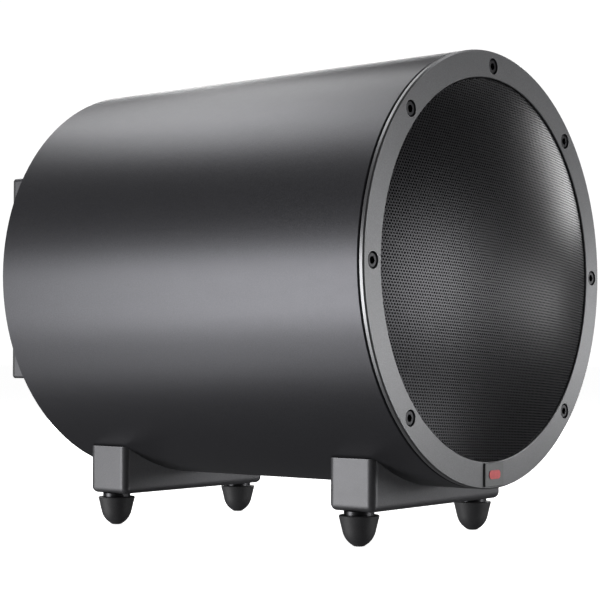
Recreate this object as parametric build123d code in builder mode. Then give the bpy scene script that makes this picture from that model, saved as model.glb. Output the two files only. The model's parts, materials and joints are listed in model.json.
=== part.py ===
from build123d import *
import os
from math import acos, asin, cos, degrees, radians, sin, sqrt

# Powered tube subwoofer lying on two saddle cradles with rubber feet.
# A 10 inch driver sits behind a domed grille at the front, and a plate amplifier in a
# rectangular housing closes the rear.
#
# Frame: +Z up, the grille faces -Y, origin on the floor under the middle of the whole object.
# A station is the distance behind the front face of the trim ring, along the tube's axis.
# On planes seen from behind, the first coordinate runs to the viewer's right (-X), the second up.

# ---- Driving dimensions, mm ----
TUBE_R = 160.0
TUBE_WALL = 5.0
TUBE_FRONT = 4.8
TUBE_REAR = 354.0
AXIS_HEIGHT = 200.0
OPENING_R = 140.2
SCREW_CIRCLE_R = 149.2
DOME_RISE = 19.0
DOME_R = 492.0
REAR_REACH = 402.0

RING_FLANGE = 3.2
RING_DEPTH = 9.0
GRILLE_SHEET = 1.2

BAFFLE_FRONT = RING_DEPTH
BAFFLE_BACK = 41.0
DRIVER_SEAT = 21.0
DRIVER_FRONT = 14.0
DRIVER_R = 133.0
DRIVER_SCREW_R = 127.5
BASKET_MOUTH_R = 112.0
ROLL_R = 107.0
CONE_R = 96.0
CONE_FRONT = 14.0
CONE_SKIN = 1.2
CONE_NECK_BACK = 62.0
COIL_R = 25.5
TOP_PLATE_FRONT = 98.0
TOP_PLATE_BACK = 106.0
MAGNET_BACK = 142.0
YOKE_BACK = 152.0

AMP_WIDTH = 240.0
AMP_HEIGHT = 164.0
AMP_CORNER = 3.0
REAR_BAFFLE_FRONT = 330.0
REAR_BAFFLE_BACK = 350.0
CUTOUT_WIDTH = 208.0
CUTOUT_HEIGHT = 132.0
TUB_FRONT = 296.0
TUB_WALL = 1.5
HOUSING_FRONT = 353.0
PANEL_FRONT = 384.0
PANEL_BACK = 387.0
BOARD_FRONT = 370.4
BOARD_BACK = 372.0

CRADLE_WIDTH = 172.0
CRADLE_THICKNESS = 40.5
CRADLE_BOTTOM = 25.5
CRADLE_TOP = 63.5
CRADLE_EDGE_R = 5.5
CRADLE_STATIONS = (65.6, 310.6)
CRADLE_BOLT_ANGLE = 13.0
FOOT_X = 75.3
FOOT_TOP = 22.5

RUNNING_GAP = 0.06
HOLE_GAP = 0.1
JOINT_GAP = 0.05

# ---- Places on the rear panel, from its middle, seen from behind ----
LEVEL_AT = (10.0, 46.0)
CROSSOVER_AT = (42.0, 46.0)
TOGGLE_AT = (70.0, 46.0)
POLARITY_AT = (94.0, 42.0)
LED_AT = (94.0, 60.0)
RCA_AT = [(4.0 + 18.0 * i, 11.0) for i in range(4)]
POSTS_AT = [(4.0 + 19.0 * i, -19.0) for i in range(4)]
ROCKER_AT = (5.0, -52.0)
FUSE_AT = (36.0, -52.0)
INLET_AT = (78.0, -51.0)
HEAT_SINK_AT = (-59.0, 0.0)
TRANSFORMER_AT = (-50.0, 0.0)
CAPACITORS_AT = [(20.0, 46.0), (50.0, 46.0), (80.0, 46.0)]
PANEL_SCREWS_AT = [
    (u, v) for u in (-112.0, 0.0, 112.0) for v in (-74.0, 0.0, 74.0) if (u, v) != (0.0, 0.0)
]
HEAT_SINK_SCREWS_AT = [(HEAT_SINK_AT[0] + u, v) for u in (-42.5, 42.5) for v in (-63.5, 63.5)]

FACE_Y = DOME_RISE - (DOME_RISE + REAR_REACH) / 2
TUBE_INNER_R = TUBE_R - TUBE_WALL
RADIAL_PLANE = Plane(origin=(0, FACE_Y, AXIS_HEIGHT))
TUBE_AXIS = Axis((0, FACE_Y, AXIS_HEIGHT), (0, 1, 0))


def back_plane(station):
    """Plane across the tube at a station, seen from behind, with its normal along +Y."""
    return Plane(origin=(0, FACE_Y + station, AXIS_HEIGHT), x_dir=(-1, 0, 0), z_dir=(0, 1, 0))


def side_plane(at, station):
    """Plane with its normal along -X through a spot on the rear panel: x runs back, y up."""
    origin = (-at[0], FACE_Y + station, AXIS_HEIGHT + at[1])
    return Plane(origin=origin, x_dir=(0, 1, 0), z_dir=(1, 0, 0))


def finish(piece, name):
    """Label a finished piece and write its STEP file."""
    piece.part.label = name
    export_step(piece.part, f"parts/{name}.step")


def disc_stack(at, steps):
    """A turned piece on the rear panel: discs of (radius, first station, last station)."""
    with BuildPart() as piece:
        for radius, start, end in steps:
            with BuildSketch(back_plane(start)):
                with Locations(at):
                    Circle(radius)
            extrude(amount=end - start)
    return piece


def turned(points):
    """A ring turned about the tube's axis from a closed outline of (radius, station)."""
    with BuildPart() as piece:
        with BuildSketch(RADIAL_PLANE):
            with BuildLine():
                Polyline(*points, close=True)
            make_face()
        revolve(axis=TUBE_AXIS)
    return piece


def band(outer, inner, start, end):
    """A plain ring between two stations."""
    return turned([(inner, start), (outer, start), (outer, end), (inner, end)])


def drill(spots, radius, start, end):
    """Cut round holes between two stations into the part being built."""
    with BuildSketch(back_plane(start)) as holes:
        with Locations(*spots):
            Circle(radius)
    extrude(holes.sketch, amount=end - start, mode=Mode.SUBTRACT)


def socket_screws(spots, top, head_r, head_height, shank_r, length, socket):
    """Socket head screws along the tube's axis; length is positive for screws that point back."""
    way = 1 if length > 0 else -1
    under = top + way * head_height
    outer_rims = 0 if way > 0 else -1
    with BuildPart() as piece:
        with BuildSketch(back_plane(top)):
            with Locations(*spots):
                Circle(head_r)
        extrude(amount=way * head_height)
        chamfer(piece.edges().group_by(Axis.Y)[outer_rims], 0.07 * head_r)
        with BuildSketch(back_plane(under)):
            with Locations(*spots):
                Circle(shank_r)
        extrude(amount=length)
        with BuildSketch(back_plane(top)):
            with Locations(*spots):
                RegularPolygon(socket / sqrt(3), 6)
        extrude(amount=way * 0.55 * head_height, mode=Mode.SUBTRACT)
    return piece


def around(radius, count, first_angle, step):
    """Spots on a circle about the tube's axis."""
    angles = [radians(first_angle + step * i) for i in range(count)]
    return [(radius * cos(a), radius * sin(a)) for a in angles]


# Seven screws at 45 degrees, with the badge in the eighth place at the bottom.
RING_SCREWS_AT = around(SCREW_CIRCLE_R, 7, -45.0, 45.0)
DRIVER_SCREWS_AT = around(DRIVER_SCREW_R, 8, 22.5, 45.0)


# ---- Enclosure and front trim ----
def make_enclosure_tube():
    edge = 0.6
    with BuildPart() as piece:
        with BuildSketch(RADIAL_PLANE):
            with BuildLine():
                Polyline(
                    (TUBE_INNER_R, TUBE_FRONT),
                    (TUBE_R - edge, TUBE_FRONT),
                    (TUBE_R, TUBE_FRONT + edge),
                    (TUBE_R, TUBE_REAR - edge),
                    (TUBE_R - edge, TUBE_REAR),
                    (TUBE_INNER_R, TUBE_REAR),
                    close=True,
                )
            make_face()
        revolve(axis=TUBE_AXIS)
        for station in CRADLE_STATIONS:
            for plane in cradle_bolt_planes(station):
                with BuildSketch(plane.offset(TUBE_INNER_R - 2)):
                    Circle(CRADLE_BOLT_R + HOLE_GAP)
                extrude(amount=TUBE_WALL + 4, mode=Mode.SUBTRACT)
    return piece


def make_front_baffle():
    grille_seat_r = 146.5
    with BuildPart() as piece:
        with BuildSketch(RADIAL_PLANE):
            with BuildLine():
                Polyline(
                    (grille_seat_r, BAFFLE_FRONT),
                    (TUBE_INNER_R, BAFFLE_FRONT),
                    (TUBE_INNER_R, BAFFLE_BACK),
                    (119.0, BAFFLE_BACK),
                    (119.0, DRIVER_SEAT),
                    (134.0, DRIVER_SEAT),
                    (134.0, BAFFLE_FRONT + GRILLE_SHEET),
                    (grille_seat_r, BAFFLE_FRONT + GRILLE_SHEET),
                    close=True,
                )
            make_face()
        revolve(axis=TUBE_AXIS)
        drill(RING_SCREWS_AT, 3.0 + HOLE_GAP, BAFFLE_FRONT - 1, 32.0)
        drill(DRIVER_SCREWS_AT, 2.5 + HOLE_GAP, DRIVER_SEAT - 1, 37.0)
    return piece


def make_trim_ring():
    spigot_r = 154.5
    with BuildPart() as piece:
        with BuildSketch(RADIAL_PLANE):
            with BuildLine():
                Polyline(
                    (OPENING_R + 0.5, 0),
                    (TUBE_R - 1.1, 0),
                    (TUBE_R, 1.1),
                    (TUBE_R, RING_FLANGE),
                    (spigot_r, RING_FLANGE),
                    (spigot_r, RING_DEPTH),
                    (OPENING_R, RING_DEPTH),
                    (OPENING_R, 0.5),
                    close=True,
                )
            make_face()
        revolve(axis=TUBE_AXIS)
        drill(RING_SCREWS_AT, 6.0, -1.0, 6.9)
        drill(RING_SCREWS_AT, 3.2, 6.0, RING_DEPTH + 1)
    return piece


def make_grille():
    """Domed sheet with a short skirt inside the ring and a flange clamped under it."""
    skirt_r = OPENING_R - 0.6
    inner_r = skirt_r - GRILLE_SHEET
    flange_r = 146.0
    seat = BAFFLE_FRONT + GRILLE_SHEET
    centre = (0, DOME_R - DOME_RISE)
    back_r = DOME_R - GRILLE_SHEET
    with BuildPart() as piece:
        with BuildSketch(RADIAL_PLANE):
            with BuildLine():
                front = CenterArc(centre, DOME_R, -90, degrees(asin(skirt_r / DOME_R)))
                back = CenterArc(centre, back_r, -90, degrees(asin(inner_r / back_r)))
                Polyline(
                    front @ 1,
                    (skirt_r, BAFFLE_FRONT),
                    (flange_r, BAFFLE_FRONT),
                    (flange_r, seat),
                    (inner_r, seat),
                    back @ 1,
                )
                Line(front @ 0, back @ 0)
            make_face()
        revolve(axis=TUBE_AXIS)
    return piece


BADGE_SIZE = (25.4, 17.4)
BADGE_CENTRE = (0.0, -149.4)
BADGE_THICKNESS = 1.5


def make_badge_plate():
    with BuildPart() as piece:
        with BuildSketch(back_plane(-BADGE_THICKNESS)):
            with Locations(BADGE_CENTRE):
                RectangleRounded(*BADGE_SIZE, 1.2)
        extrude(amount=BADGE_THICKNESS)
        outer_edges = piece.faces().sort_by(Axis.Y)[0].edges()
        chamfer(outer_edges, 0.4)
    return piece


def make_badge_bar():
    """Plain enamelled bar on the badge."""
    with BuildPart() as piece:
        with BuildSketch(back_plane(-BADGE_THICKNESS - 0.5)):
            with Locations(BADGE_CENTRE):
                SlotOverall(15.0, 6.4)
        extrude(amount=0.5)
    return piece


# ---- Driver ----
def make_basket():
    with BuildPart() as piece:
        with BuildSketch(RADIAL_PLANE):
            with BuildLine():
                Polyline(
                    (BASKET_MOUTH_R, DRIVER_FRONT),
                    (DRIVER_R, DRIVER_FRONT),
                    (DRIVER_R, 20.0),
                    (118.0, 20.0),
                    (80.0, 66.0),
                    (80.0, 74.0),
                    (68.0, 92.0),
                    (68.0, TOP_PLATE_FRONT),
                    (34.0, TOP_PLATE_FRONT),
                    (34.0, 94.0),
                    (64.0, 94.0),
                    (64.0, 88.0),
                    (66.0, 74.0),
                    (66.0, 70.0),
                    (75.0, 70.0),
                    (75.0, 66.0),
                    (BASKET_MOUTH_R, 20.0),
                    close=True,
                )
            make_face()
        revolve(axis=TUBE_AXIS)
        drill(DRIVER_SCREWS_AT, 2.7, DRIVER_FRONT - 1, 21.0)
        # Six windows between the spokes.
        with BuildSketch(back_plane(26.0)):
            with PolarLocations(95.0, 6, start_angle=30.0):
                RectangleRounded(80.0, 58.0, 10.0)
        extrude(amount=34.0, mode=Mode.SUBTRACT)
    return piece


def make_surround():
    """Rubber half roll between the cone's rim and the basket's flange."""
    front = DRIVER_FRONT - 1.2
    with BuildPart() as piece:
        with BuildSketch(RADIAL_PLANE):
            with BuildLine():
                Polyline((122.5, DRIVER_FRONT), (122.5, front), (118.0, front))
                ThreePointArc((118.0, front), (ROLL_R, 3.0), (96.0, front))
                Polyline((96.0, front), (91.0, front), (91.0, DRIVER_FRONT), (97.2, DRIVER_FRONT))
                ThreePointArc((97.2, DRIVER_FRONT), (ROLL_R, 4.2), (116.8, DRIVER_FRONT))
                Line((116.8, DRIVER_FRONT), (122.5, DRIVER_FRONT))
            make_face()
        revolve(axis=TUBE_AXIS)
    return piece


def make_dust_cap():
    front_r = 76.0
    back_r = 75.1
    centre = (0, 106.0)
    depth = 60.5
    with BuildPart() as piece:
        with BuildSketch(RADIAL_PLANE):
            with BuildLine():
                front = CenterArc(centre, front_r, -90, degrees(acos(depth / front_r)))
                back = CenterArc(centre, back_r, -90, degrees(acos(depth / back_r)))
                Line(front @ 1, back @ 1)
                Line(front @ 0, back @ 0)
            make_face()
        revolve(axis=TUBE_AXIS)
    return piece


def make_spider():
    """Corrugated centring disc, six half waves between its collar and its rim."""
    sheet = 0.8
    first_r = 66.0
    pitch = 6.0
    front = 70.0 - sheet
    with BuildPart() as piece:
        with BuildSketch(RADIAL_PLANE):
            with BuildLine():
                for depth in (0.0, sheet):
                    station = front + depth
                    Line((75.0, station), (first_r, station))
                    for i in range(6):
                        swing = 2.2 if i % 2 else -2.2
                        outer = first_r - pitch * i
                        middle = (outer - pitch / 2, station + swing)
                        ThreePointArc((outer, station), middle, (outer - pitch, station))
                    Line((first_r - 6 * pitch, station), (COIL_R, station))
                Line((COIL_R, front), (COIL_R, front + sheet))
                Line((75.0, front), (75.0, front + sheet))
            make_face()
        revolve(axis=TUBE_AXIS)
    return piece


def make_terminals():
    """Insulating block on a basket spoke with two solder tags."""
    with BuildPart() as piece:
        with BuildSketch(back_plane(67.0)):
            with Locations((0, -85.0)):
                Rectangle(26.0, 14.0)
            Circle(80.0, mode=Mode.SUBTRACT)
        extrude(amount=6.0)
        with BuildSketch(back_plane(67.0)):
            with Locations((-8.0, -94.0), (8.0, -94.0)):
                Rectangle(4.8, 4.0)
        extrude(amount=1.0)
    return piece


def make_wires(routes, radius):
    """Leads along routes of straight runs joined by tangent arcs."""
    with BuildPart() as piece:
        for points in routes:
            path = [Vector(x, FACE_Y + s, AXIS_HEIGHT + z) for x, s, z in points]
            with BuildLine() as wire:
                FilletPolyline(*path, radius=bend_radii(path))
            start = wire.line @ 0
            with BuildSketch(Plane(origin=start, z_dir=wire.line % 0)):
                Circle(radius)
            sweep(path=wire.line)
    return piece


def bend_radii(path):
    """The largest arcs that the runs allow: 0.45 of the shorter run over the half turn's tangent."""
    radii = []
    for before, corner, after in zip(path, path[1:], path[2:]):
        turn = radians((corner - before).get_angle(after - corner))
        shorter = min((corner - before).length, (after - corner).length)
        radii.append(0.45 * shorter * cos(turn / 2) / sin(turn / 2))
    return radii


TINSEL_ROUTE = [(50.0, 45.0), (66.0, 51.0), (82.0, 53.5), (92.0, 60.0), (94.0, 66.8)]
SPEAKER_LEAD_ROUTE = [
    (94.0, 68.0),
    (94.0, 88.0),
    (104.0, 122.0),
    (116.0, 162.0),
    (117.0, 202.0),
    (106.0, 236.0),
    (86.0, 258.0),
    (69.0, 271.0),
    (62.0, 282.0),
    (62.0, TUB_FRONT),
]


# ---- Rear panel and amplifier ----
def make_rear_baffle():
    with BuildPart() as piece:
        with BuildSketch(back_plane(REAR_BAFFLE_FRONT)):
            Circle(TUBE_INNER_R)
            RectangleRounded(CUTOUT_WIDTH, CUTOUT_HEIGHT, 5.0, mode=Mode.SUBTRACT)
        extrude(amount=REAR_BAFFLE_BACK - REAR_BAFFLE_FRONT)
        drill(PANEL_SCREWS_AT, 2.0 + HOLE_GAP, 337.0, REAR_BAFFLE_BACK + 1)
    return piece


def make_amp_tub():
    """Sealed sheet tub that keeps the enclosure's air away from the amplifier."""
    width = CUTOUT_WIDTH - 4.0
    height = CUTOUT_HEIGHT - 4.0
    flange = HOUSING_FRONT - TUB_WALL
    with BuildPart() as piece:
        with BuildSketch(back_plane(TUB_FRONT)):
            RectangleRounded(width, height, 5.0)
        extrude(amount=HOUSING_FRONT - TUB_FRONT)
        with BuildSketch(back_plane(flange)):
            RectangleRounded(AMP_WIDTH - 2, AMP_HEIGHT - 2, AMP_CORNER)
        extrude(amount=TUB_WALL)
        with BuildSketch(back_plane(TUB_FRONT + TUB_WALL)):
            RectangleRounded(width - 2 * TUB_WALL, height - 2 * TUB_WALL, 3.5)
        extrude(amount=HOUSING_FRONT - TUB_FRONT, mode=Mode.SUBTRACT)
        drill(PANEL_SCREWS_AT, 2.3, flange - 1, HOUSING_FRONT + 1)
    return piece


def make_amp_gasket():
    start = REAR_BAFFLE_BACK
    with BuildPart() as piece:
        with BuildSketch(back_plane(start)):
            RectangleRounded(AMP_WIDTH - 2, AMP_HEIGHT - 2, AMP_CORNER)
            RectangleRounded(CUTOUT_WIDTH, CUTOUT_HEIGHT, 5.0, mode=Mode.SUBTRACT)
        extrude(amount=HOUSING_FRONT - TUB_WALL - start)
        drill(PANEL_SCREWS_AT, 2.3, start - 1, HOUSING_FRONT)
    return piece


def make_amp_housing():
    """Four lengths of wall, butted near the corners, with a boss for each panel screw."""
    wall = 3.0
    boss_r = 5.5
    joint_height = 68.0
    with BuildPart() as piece:
        with BuildSketch(back_plane(HOUSING_FRONT)):
            RectangleRounded(AMP_WIDTH, AMP_HEIGHT, AMP_CORNER)
            Rectangle(AMP_WIDTH - 2 * wall, AMP_HEIGHT - 2 * wall, mode=Mode.SUBTRACT)
            with Locations(*PANEL_SCREWS_AT):
                Circle(boss_r)
                Circle(2.0 + 2 * HOLE_GAP, mode=Mode.SUBTRACT)
            with Locations((0, -joint_height), (0, joint_height)):
                Rectangle(AMP_WIDTH + 2, JOINT_GAP, mode=Mode.SUBTRACT)
        extrude(amount=PANEL_FRONT - HOUSING_FRONT)
    return piece


def make_control_panel():
    with BuildPart() as piece:
        with BuildSketch(back_plane(PANEL_FRONT)):
            RectangleRounded(AMP_WIDTH, AMP_HEIGHT, AMP_CORNER)
            with Locations(*PANEL_SCREWS_AT):
                Circle(2.0 + 2 * HOLE_GAP, mode=Mode.SUBTRACT)
            with Locations(HEAT_SINK_AT):
                Rectangle(78.0, 112.0, mode=Mode.SUBTRACT)
            with Locations(*HEAT_SINK_SCREWS_AT):
                Circle(1.5 + HOLE_GAP, mode=Mode.SUBTRACT)
            with Locations(LEVEL_AT, CROSSOVER_AT):
                Circle(4.5, mode=Mode.SUBTRACT)
            with Locations(TOGGLE_AT):
                Circle(5.7, mode=Mode.SUBTRACT)
            with Locations(POLARITY_AT):
                Rectangle(10.0, 5.6, mode=Mode.SUBTRACT)
            with Locations(LED_AT):
                Circle(2.6, mode=Mode.SUBTRACT)
            with Locations(*RCA_AT):
                Circle(4.6, mode=Mode.SUBTRACT)
            with Locations(*POSTS_AT):
                Circle(5.1, mode=Mode.SUBTRACT)
            with Locations(ROCKER_AT):
                Rectangle(14.4, 20.4, mode=Mode.SUBTRACT)
            with Locations(FUSE_AT):
                Circle(6.6, mode=Mode.SUBTRACT)
            with Locations(INLET_AT):
                Rectangle(27.4, 20.4, mode=Mode.SUBTRACT)
        extrude(amount=PANEL_BACK - PANEL_FRONT)
        chamfer(piece.faces().sort_by(Axis.Y)[-1].outer_wire().edges(), 0.5)
    return piece


def make_heat_sink():
    fin_count = 16
    fin_pitch = 6.0
    with BuildPart() as piece:
        with BuildSketch(back_plane(PANEL_BACK)):
            with Locations(HEAT_SINK_AT):
                Rectangle(94.0, 136.0)
        extrude(amount=3.0)
        with BuildSketch(back_plane(PANEL_BACK + 3.0)):
            with Locations(HEAT_SINK_AT):
                with GridLocations(fin_pitch, 1.0, fin_count, 1):
                    Rectangle(2.0, 136.0)
        extrude(amount=REAR_REACH - PANEL_BACK - 3.0)
        drill(HEAT_SINK_SCREWS_AT, 1.5 + HOLE_GAP, PANEL_BACK - 1, PANEL_BACK + 4)
        drill(HEAT_SINK_SCREWS_AT, 3.0, PANEL_BACK + 3.0, REAR_REACH + 1)
    return piece


def make_transformer():
    """Toroidal mains transformer standing on the front wall of the tub."""
    front = TUB_FRONT + TUB_WALL
    with BuildPart() as piece:
        with BuildSketch(back_plane(front)):
            with Locations(TRANSFORMER_AT):
                Circle(46.0)
                Circle(16.0, mode=Mode.SUBTRACT)
        extrude(amount=38.0)
        fillet(piece.edges().filter_by(GeomType.CIRCLE), 6.0)
    return piece


def make_capacitors():
    """Reservoir capacitors standing on the front side of the board."""
    length = 40.0
    with BuildPart() as piece:
        with BuildSketch(back_plane(BOARD_FRONT - length)):
            with Locations(*CAPACITORS_AT):
                Circle(12.0)
        extrude(amount=length)
        tops = piece.edges().filter_by(GeomType.CIRCLE).group_by(Axis.Y)[0]
        fillet(tops, 1.5)
    return piece


def make_transistors():
    """Output transistors clamped to the heat sink through the panel's window."""
    with BuildPart() as piece:
        with BuildSketch(back_plane(PANEL_BACK - 5.0)):
            with Locations(HEAT_SINK_AT):
                with GridLocations(1.0, 27.0, 1, 4):
                    Rectangle(20.0, 16.0)
        extrude(amount=5.0)
    return piece


def make_amp_board():
    with BuildPart() as piece:
        with BuildSketch(back_plane(BOARD_FRONT)):
            with Locations((50.0, 15.0)):
                Rectangle(112.0, 96.0)
        extrude(amount=BOARD_BACK - BOARD_FRONT)
    return piece


STEM_R = 3.0


def make_potentiometers():
    spots = [LEVEL_AT, CROSSOVER_AT]
    with BuildPart() as piece:
        with BuildSketch(back_plane(BOARD_BACK)):
            with Locations(*spots):
                Circle(8.0)
        extrude(amount=PANEL_FRONT - BOARD_BACK)
        with BuildSketch(back_plane(PANEL_FRONT)):
            with Locations(*spots):
                Circle(4.4)
        extrude(amount=3.6)
        drill(spots, STEM_R + RUNNING_GAP, BOARD_BACK + 2.5, PANEL_BACK + 1)
    return piece


def make_rca_jacks():
    barrel_r = 4.15
    with BuildPart() as piece:
        for radius, start, end in (
            (7.0, BOARD_BACK, PANEL_FRONT),
            (4.5, PANEL_FRONT, PANEL_BACK),
            (5.6, PANEL_BACK, PANEL_BACK + 1.5),
            (barrel_r, PANEL_BACK + 1.5, PANEL_BACK + 11.0),
        ):
            with BuildSketch(back_plane(start)):
                with Locations(*RCA_AT):
                    Circle(radius)
            extrude(amount=end - start)
        drill(RCA_AT, 1.6, PANEL_BACK + 1.0, PANEL_BACK + 12.0)
    return piece


POST_STUD_R = 3.4
POST_BORE_R = 2.0
POST_BASE_BACK = PANEL_BACK + 3.4
NUT_FRONT = POST_BASE_BACK + 0.4


def make_post_bases():
    """Insulating bushes that carry the terminal studs through the panel."""
    with BuildPart() as piece:
        with BuildSketch(back_plane(PANEL_FRONT - 2.0)):
            with Locations(*POSTS_AT):
                Circle(5.0)
        extrude(amount=PANEL_BACK - PANEL_FRONT + 2.0)
        with BuildSketch(back_plane(PANEL_BACK)):
            with Locations(*POSTS_AT):
                Circle(7.4)
        extrude(amount=POST_BASE_BACK - PANEL_BACK)
        drill(POSTS_AT, POST_STUD_R, PANEL_FRONT - 3.0, POST_BASE_BACK + 1)
    return piece


def make_post_studs():
    with BuildPart() as piece:
        with BuildSketch(back_plane(BOARD_BACK)):
            with Locations(*POSTS_AT):
                Circle(POST_STUD_R)
        extrude(amount=REAR_REACH - BOARD_BACK)
        drill(POSTS_AT, POST_BORE_R, REAR_REACH - 14.0, REAR_REACH + 1)
    return piece


def make_post_nut(at):
    with BuildPart() as piece:
        with BuildSketch(back_plane(NUT_FRONT)):
            with Locations(at):
                Circle(6.2)
                with PolarLocations(6.4, 16):
                    Circle(0.6, mode=Mode.SUBTRACT)
        extrude(amount=REAR_REACH - 1.0 - NUT_FRONT)
        with BuildSketch(back_plane(REAR_REACH - 1.0)):
            with Locations(at):
                Circle(5.2)
        extrude(amount=0.8)
        drill([at], POST_STUD_R + RUNNING_GAP, NUT_FRONT - 1, REAR_REACH + 1)
    return piece


def make_knob(at):
    """Fluted knob on a moulded stem, with a pointer groove at twelve o'clock."""
    under = PANEL_BACK + 1.2
    with BuildPart() as piece:
        with BuildSketch(back_plane(under)):
            with Locations(at):
                Circle(10.4)
        extrude(amount=2.2)
        with BuildSketch(back_plane(under + 2.2)):
            with Locations(at):
                Circle(8.8)
                with PolarLocations(9.1, 24):
                    Circle(0.65, mode=Mode.SUBTRACT)
        extrude(amount=REAR_REACH - 0.8 - under - 2.2)
        with BuildSketch(back_plane(REAR_REACH - 0.8)):
            with Locations(at):
                Circle(8.0)
        extrude(amount=0.8)
        with BuildSketch(back_plane(REAR_REACH - 0.6)):
            with Locations((at[0], at[1] + 5.0)):
                Rectangle(1.2, 6.0)
        extrude(amount=1.0, mode=Mode.SUBTRACT)
        with BuildSketch(back_plane(BOARD_BACK + 3.0)):
            with Locations(at):
                Circle(STEM_R)
        extrude(amount=under - BOARD_BACK - 3.0)
    return piece


TOGGLE_PIVOT = PANEL_FRONT


def make_toggle_switch():
    """Switch body and threaded bushing with a flared throat for the lever."""
    mouth = TOGGLE_PIVOT + 10.0
    with BuildPart() as piece:
        with BuildSketch(back_plane(BOARD_BACK)):
            with Locations(TOGGLE_AT):
                Rectangle(8.0, 13.0)
        extrude(amount=PANEL_FRONT - BOARD_BACK)
        with BuildSketch(back_plane(PANEL_FRONT)):
            with Locations(TOGGLE_AT):
                Circle(5.6)
        extrude(amount=mouth - PANEL_FRONT)
        with BuildSketch(back_plane(PANEL_BACK)):
            with Locations(TOGGLE_AT):
                RegularPolygon(7.4, 6)
        extrude(amount=2.2)
        drill([TOGGLE_AT], 3.2, TOGGLE_PIVOT - 4.0, TOGGLE_PIVOT)
        with BuildSketch(back_plane(TOGGLE_PIVOT)):
            with Locations(TOGGLE_AT):
                Circle(3.2)
        with BuildSketch(back_plane(mouth)):
            with Locations(TOGGLE_AT):
                Circle(4.7)
        loft(mode=Mode.SUBTRACT)
    return piece


def make_toggle_lever():
    tip = REAR_REACH
    axis = Axis((-TOGGLE_AT[0], FACE_Y, AXIS_HEIGHT + TOGGLE_AT[1]), (0, 1, 0))
    ball_r = 2.8
    tip_r = 2.3
    with BuildPart() as piece:
        with BuildSketch(Plane(origin=(-TOGGLE_AT[0], FACE_Y, AXIS_HEIGHT + TOGGLE_AT[1]))):
            with BuildLine():
                ball = CenterArc((0, TOGGLE_PIVOT), ball_r, -90, 150)
                end = CenterArc((0, tip - tip_r), tip_r, 0, 90)
                Line(ball @ 1, end @ 0)
                Line(ball @ 0, end @ 1)
            make_face()
        revolve(axis=axis)
    return piece


def make_polarity_switch():
    with BuildPart() as piece:
        with BuildSketch(back_plane(BOARD_BACK)):
            with Locations(POLARITY_AT):
                Rectangle(19.0, 9.0)
        extrude(amount=PANEL_FRONT - BOARD_BACK)
        with BuildSketch(back_plane(PANEL_FRONT - 5.0)):
            with Locations(POLARITY_AT):
                Rectangle(9.8, 5.4)
        extrude(amount=6.0, mode=Mode.SUBTRACT)
    return piece


SLIDER_TRAVEL = 4.0


def make_polarity_slider():
    spot = (POLARITY_AT[0] - SLIDER_TRAVEL / 2, POLARITY_AT[1])
    with BuildPart() as piece:
        with BuildSketch(back_plane(PANEL_FRONT - 4.6)):
            with Locations(spot):
                Rectangle(5.0, 4.6)
        extrude(amount=PANEL_BACK + 2.4 - PANEL_FRONT + 4.6)
        for groove in (-1.2, 0.0, 1.2):
            with BuildSketch(back_plane(PANEL_BACK + 2.0)):
                with Locations((spot[0] + groove, spot[1])):
                    Rectangle(0.5, 4.6)
            extrude(amount=1.0, mode=Mode.SUBTRACT)
    return piece


ROCKER_PIVOT = PANEL_BACK - 4.0
ROCKER_TILT = 8.0
ROCKER_WIDTH = 10.8
ROCKER_AXLE_R = 1.2


def make_rocker_frame():
    bezel_back = PANEL_BACK + 2.0
    with BuildPart() as piece:
        with BuildSketch(back_plane(368.0)):
            with Locations(ROCKER_AT):
                Rectangle(14.0, 20.0)
        extrude(amount=PANEL_BACK - 368.0)
        with BuildSketch(back_plane(PANEL_BACK)):
            with Locations(ROCKER_AT):
                RectangleRounded(17.0, 23.0, 1.5)
        extrude(amount=bezel_back - PANEL_BACK)
        with BuildSketch(back_plane(PANEL_BACK - 10.0)):
            with Locations(ROCKER_AT):
                Rectangle(11.4, 18.2)
        extrude(amount=14.0, mode=Mode.SUBTRACT)
        with BuildSketch(side_plane(ROCKER_AT, ROCKER_PIVOT)):
            Circle(ROCKER_AXLE_R + RUNNING_GAP)
        extrude(amount=6.5, both=True, mode=Mode.SUBTRACT)
    return piece


def make_power_rocker():
    """Rocker resting with its lower half pressed, on two stub axles."""
    plane = side_plane(ROCKER_AT, ROCKER_PIVOT).rotated((-ROCKER_TILT, 0, 0))
    with BuildPart() as piece:
        with BuildSketch(plane):
            with BuildLine():
                Polyline(
                    (-1.0, -7.8), (6.2, -7.8), (4.6, 0.0), (6.2, 7.8), (-1.0, 7.8), (-4.0, 0.0),
                    close=True,
                )
            make_face()
        extrude(amount=ROCKER_WIDTH / 2, both=True)
        with BuildSketch(plane):
            Circle(ROCKER_AXLE_R)
        extrude(amount=ROCKER_WIDTH / 2 + 0.9, both=True)
    return piece


FUSE_STEM_R = 4.4
FUSE_FLANGE_BACK = PANEL_BACK + 1.6


def make_fuse_holder():
    with BuildPart() as piece:
        with BuildSketch(back_plane(357.0)):
            with Locations(FUSE_AT):
                Circle(6.4)
        extrude(amount=PANEL_BACK - 357.0)
        with BuildSketch(back_plane(PANEL_BACK)):
            with Locations(FUSE_AT):
                Circle(8.4)
        extrude(amount=FUSE_FLANGE_BACK - PANEL_BACK)
        drill([FUSE_AT], FUSE_STEM_R + RUNNING_GAP, 362.0, PANEL_BACK + 3)
    return piece


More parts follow.
